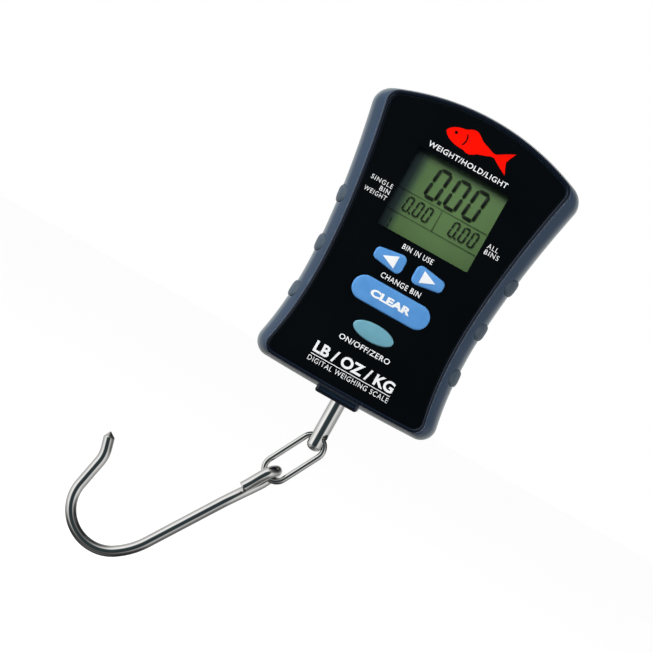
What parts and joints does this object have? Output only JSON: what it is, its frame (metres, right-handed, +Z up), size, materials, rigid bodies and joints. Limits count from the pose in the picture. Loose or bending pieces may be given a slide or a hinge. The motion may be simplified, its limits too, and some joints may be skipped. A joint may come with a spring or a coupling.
{
  "type": "digital fish scale",
  "caption": "Hand-held battery scale with a display and keypad; a draw rod under the case carries a wire link and an open hook for weighing fish.",
  "frame": {"origin": "point on the flat back face of the case, on the plane of symmetry, half-way up the case", "axes": "+Z up as the scale hangs in use, +Y out of the back face (the display faces -Y), +X to the right of somebody reading the display"},
  "size_m": [0.1138, 0.0308, 0.2132],
  "materials": {
    "casing": "semi-gloss moulded ABS, charcoal navy",
    "grip_rubber": "matte charcoal thermoplastic rubber",
    "overlay": "glossy black printed film",
    "clear_pane": "clear acrylic",
    "key_blue": "blue silicone, satin",
    "key_teal": "teal silicone, satin",
    "stainless": "polished stainless steel",
    "zinc_plate": "zinc-plated steel",
    "cell_alloy": "machined aluminium",
    "lcd_glass": "reflective LCD, olive green",
    "light_guide": "white diffuser",
    "black_plastic": "fine matte",
    "board": "solder-masked glass epoxy",
    "gauge_film": "amber polyimide film",
    "cell_wrap": "printed sleeve",
    "contact_steel": "nickel-plated spring steel",
    "red_wire": "PVC insulation",
    "grey_wire": "PVC insulation"
  },
  "bodies": {
    "case": {"battery_lower": "cell_wrap", "battery_spring_lower": "contact_steel", "battery_spring_upper": "contact_steel", "battery_upper": "cell_wrap", "board_screw_1": "zinc_plate", "board_screw_2": "zinc_plate", "board_screw_3": "zinc_plate", "board_screw_4": "zinc_plate", "bracket_screw_left": "zinc_plate", "bracket_screw_right": "zinc_plate", "case_gasket": "grip_rubber", "case_screw_1": "zinc_plate", "case_screw_2": "zinc_plate", "case_screw_3": "zinc_plate", "case_screw_4": "zinc_plate", "circuit_board": "board", "contact_bridge": "contact_steel", "contact_positive": "contact_steel", "face_overlay": "overlay", "front_case": "casing", "grip_pad_left_1": "grip_rubber", "grip_pad_left_2": "grip_rubber", "grip_pad_left_3": "grip_rubber", "grip_pad_right_1": "grip_rubber", "grip_pad_right_2": "grip_rubber", "grip_pad_right_3": "grip_rubber", "lcd_backlight": "light_guide", "lcd_connector": "grip_rubber", "lcd_panel": "lcd_glass", "lcd_window": "clear_pane", "lead_negative": "grey_wire", "lead_positive": "red_wire", "load_cell": "cell_alloy", "load_cell_bolt": "zinc_plate", "load_cell_bracket": "zinc_plate", "main_chip": "black_plastic", "rear_case": "casing", "rod_collar": "black_plastic", "sensor_cable": "grey_wire", "strain_gauge_lower": "gauge_film", "strain_gauge_upper": "gauge_film", "switch_delete": "black_plastic", "switch_left": "black_plastic", "switch_power": "black_plastic", "switch_right": "black_plastic"},
    "left_key": {"key_left": "key_blue", "switch_plunger_left": "black_plastic"},
    "right_key": {"key_right": "key_blue", "switch_plunger_right": "black_plastic"},
    "delete_key": {"key_delete": "key_blue", "switch_plunger_delete": "black_plastic"},
    "power_key": {"key_power": "key_teal", "switch_plunger_power": "black_plastic"},
    "door": {"battery_door": "casing"},
    "draw_rod": {"eye_rod": "stainless", "rod_washer": "zinc_plate", "rod_nut": "zinc_plate"},
    "link": {"link": "stainless"},
    "hook": {"hook": "stainless"}
  },
  "joints": [
    {"name": "left_key_press", "type": "slide", "parent": "case", "child": "left_key", "axis": [0, 1, 0], "range_m": [0, 0.0005]},
    {"name": "right_key_press", "type": "slide", "parent": "case", "child": "right_key", "axis": [0, 1, 0], "range_m": [0, 0.0005]},
    {"name": "delete_key_press", "type": "slide", "parent": "case", "child": "delete_key", "axis": [0, 1, 0], "range_m": [0, 0.0005]},
    {"name": "power_key_press", "type": "slide", "parent": "case", "child": "power_key", "axis": [0, 1, 0], "range_m": [0, 0.0005]},
    {"name": "door_open", "type": "hinge", "parent": "case", "child": "door", "pos_m": [0, -0.0012, 0.016], "axis": [-1, 0, 0], "range_deg": [0, 95]},
    {"name": "rod_swivel", "type": "hinge", "parent": "case", "child": "draw_rod", "pos_m": [0.00075, -0.0125, -0.04], "axis": [0, 0, 1], "continuous": true},
    {"name": "link_swing", "type": "hinge", "parent": "draw_rod", "child": "link", "pos_m": [0.00017, -0.0125, -0.07975], "axis": [0, 1, 0], "range_deg": [-70, 16]},
    {"name": "hook_swing", "type": "hinge", "parent": "link", "child": "hook", "pos_m": [-0.0071, -0.0125, -0.09339], "axis": [0, 1, 0], "range_deg": [-55, 44]}
  ]
}
